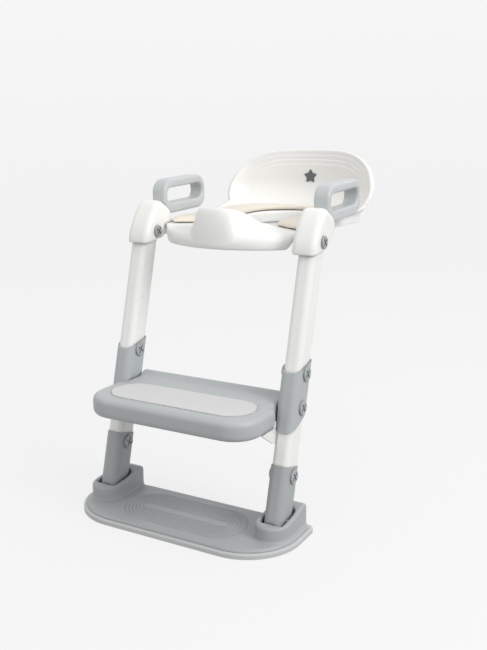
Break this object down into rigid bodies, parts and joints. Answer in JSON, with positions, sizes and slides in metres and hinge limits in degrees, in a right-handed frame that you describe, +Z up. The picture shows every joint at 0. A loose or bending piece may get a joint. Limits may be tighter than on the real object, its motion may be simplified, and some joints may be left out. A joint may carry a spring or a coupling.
{
  "type": "toilet training seat with step ladder",
  "caption": "Child's padded toilet training seat with side handles, backrest, splash guard and a folding ladder with one wide step and a floor base.",
  "frame": {"origin": "on the floor, under the middle of the whole chair's footprint box", "axes": "+X to the right-hand rail as seen by someone facing the chair's steps, +Y to the rear (the backrest), +Z up"},
  "size_m": [0.3754, 0.519, 0.5557],
  "materials": {
    "white_plastic": "satin moulded",
    "rail_white": "smooth extruded",
    "cushion_foam": "soft skinned foam",
    "handle_grey": "fine moulded grain",
    "step_grey": "fine moulded grain",
    "base_grey": "fine moulded grain",
    "inlay_rubber": "dotted soft grip",
    "rim_rubber": "soft grip",
    "pad_rubber": "soft grip",
    "knob_grey": "moulded",
    "pivot_grey": "moulded",
    "inner_grey": "moulded",
    "steel": "zinc plated",
    "badge_grey": "printed"
  },
  "bodies": {
    "seat": {"backrest": "white_plastic", "backrest_badge": "badge_grey", "backrest_screws": "steel", "ear_cap_left": "white_plastic", "ear_cap_right": "white_plastic", "ear_inner_left": "white_plastic", "ear_inner_right": "white_plastic", "frame_screws": "steel", "handle_left": "handle_grey", "handle_right": "handle_grey", "handle_screw_left": "steel", "handle_screw_right": "steel", "pivot_nut_left": "pivot_grey", "pivot_nut_right": "pivot_grey", "seat_cushion": "cushion_foam", "seat_pads": "pad_rubber", "seat_shell": "white_plastic", "under_frame": "white_plastic"},
    "ladder": {"rail_left": "rail_white", "rail_right": "rail_white", "rail_top_eye_left": "inner_grey", "rail_top_eye_right": "inner_grey", "step_bracket_left": "white_plastic", "step_bracket_right": "white_plastic", "step_inlay": "inlay_rubber", "step_nut_left": "knob_grey", "step_nut_right": "knob_grey", "step_sleeve_left": "step_grey", "step_sleeve_right": "step_grey", "step_tread": "step_grey"},
    "lower_legs": {"base_hinge_pin_left": "steel", "base_hinge_pin_right": "steel", "leg_foot_left": "inner_grey", "leg_foot_right": "inner_grey", "leg_nut_left": "knob_grey", "leg_nut_right": "knob_grey", "leg_sleeve_left": "base_grey", "leg_sleeve_right": "base_grey"},
    "base": {"base_deck": "base_grey", "base_rim_grip": "rim_rubber", "base_floor_pads": "rim_rubber"},
    "step_bolt_upper_left": {"step_bolt_upper_left": "knob_grey"},
    "step_bolt_upper_right": {"step_bolt_upper_right": "knob_grey"},
    "step_bolt_lower_left": {"step_bolt_lower_left": "knob_grey"},
    "step_bolt_lower_right": {"step_bolt_lower_right": "knob_grey"},
    "leg_bolt_left": {"leg_bolt_left": "knob_grey"},
    "leg_bolt_right": {"leg_bolt_right": "knob_grey"},
    "pivot_bolt_left": {"pivot_bolt_left": "pivot_grey"},
    "pivot_bolt_right": {"pivot_bolt_right": "pivot_grey"}
  },
  "joints": [
    {"name": "ladder_fold", "type": "hinge", "parent": "seat", "child": "ladder", "pos_m": [0, -0.0648, 0.43], "axis": [1, 0, 0], "range_deg": [-6, 90]},
    {"name": "leg_extend", "type": "slide", "parent": "ladder", "child": "lower_legs", "axis": [0, -0.2538, -0.9673], "range_m": [0, 0.03]},
    {"name": "base_tilt", "type": "hinge", "parent": "lower_legs", "child": "base", "pos_m": [0, -0.16973, 0.03003], "axis": [1, 0, 0], "range_deg": [-5, 5]},
    {"name": "step_bolt_upper_turn_left", "type": "hinge", "parent": "ladder", "child": "step_bolt_upper_left", "pos_m": [-0.1665, -0.11416, 0.24187], "axis": [1, 0, 0], "continuous": true},
    {"name": "step_bolt_upper_turn_right", "type": "hinge", "parent": "ladder", "child": "step_bolt_upper_right", "pos_m": [0.1665, -0.11416, 0.24187], "axis": [1, 0, 0], "continuous": true},
    {"name": "step_bolt_lower_turn_left", "type": "hinge", "parent": "ladder", "child": "step_bolt_lower_left", "pos_m": [-0.1665, -0.1269, 0.19331], "axis": [1, 0, 0], "continuous": true},
    {"name": "step_bolt_lower_turn_right", "type": "hinge", "parent": "ladder", "child": "step_bolt_lower_right", "pos_m": [0.1665, -0.1269, 0.19331], "axis": [1, 0, 0], "continuous": true},
    {"name": "leg_bolt_turn_left", "type": "hinge", "parent": "lower_legs", "child": "leg_bolt_left", "pos_m": [-0.166, -0.15268, 0.09503], "axis": [1, 0, 0], "continuous": true},
    {"name": "leg_bolt_turn_right", "type": "hinge", "parent": "lower_legs", "child": "leg_bolt_right", "pos_m": [0.166, -0.15268, 0.09503], "axis": [1, 0, 0], "continuous": true},
    {"name": "pivot_bolt_turn_left", "type": "hinge", "parent": "seat", "child": "pivot_bolt_left", "pos_m": [-0.168, -0.0648, 0.43], "axis": [1, 0, 0], "continuous": true},
    {"name": "pivot_bolt_turn_right", "type": "hinge", "parent": "seat", "child": "pivot_bolt_right", "pos_m": [0.168, -0.0648, 0.43], "axis": [1, 0, 0], "continuous": true}
  ]
}
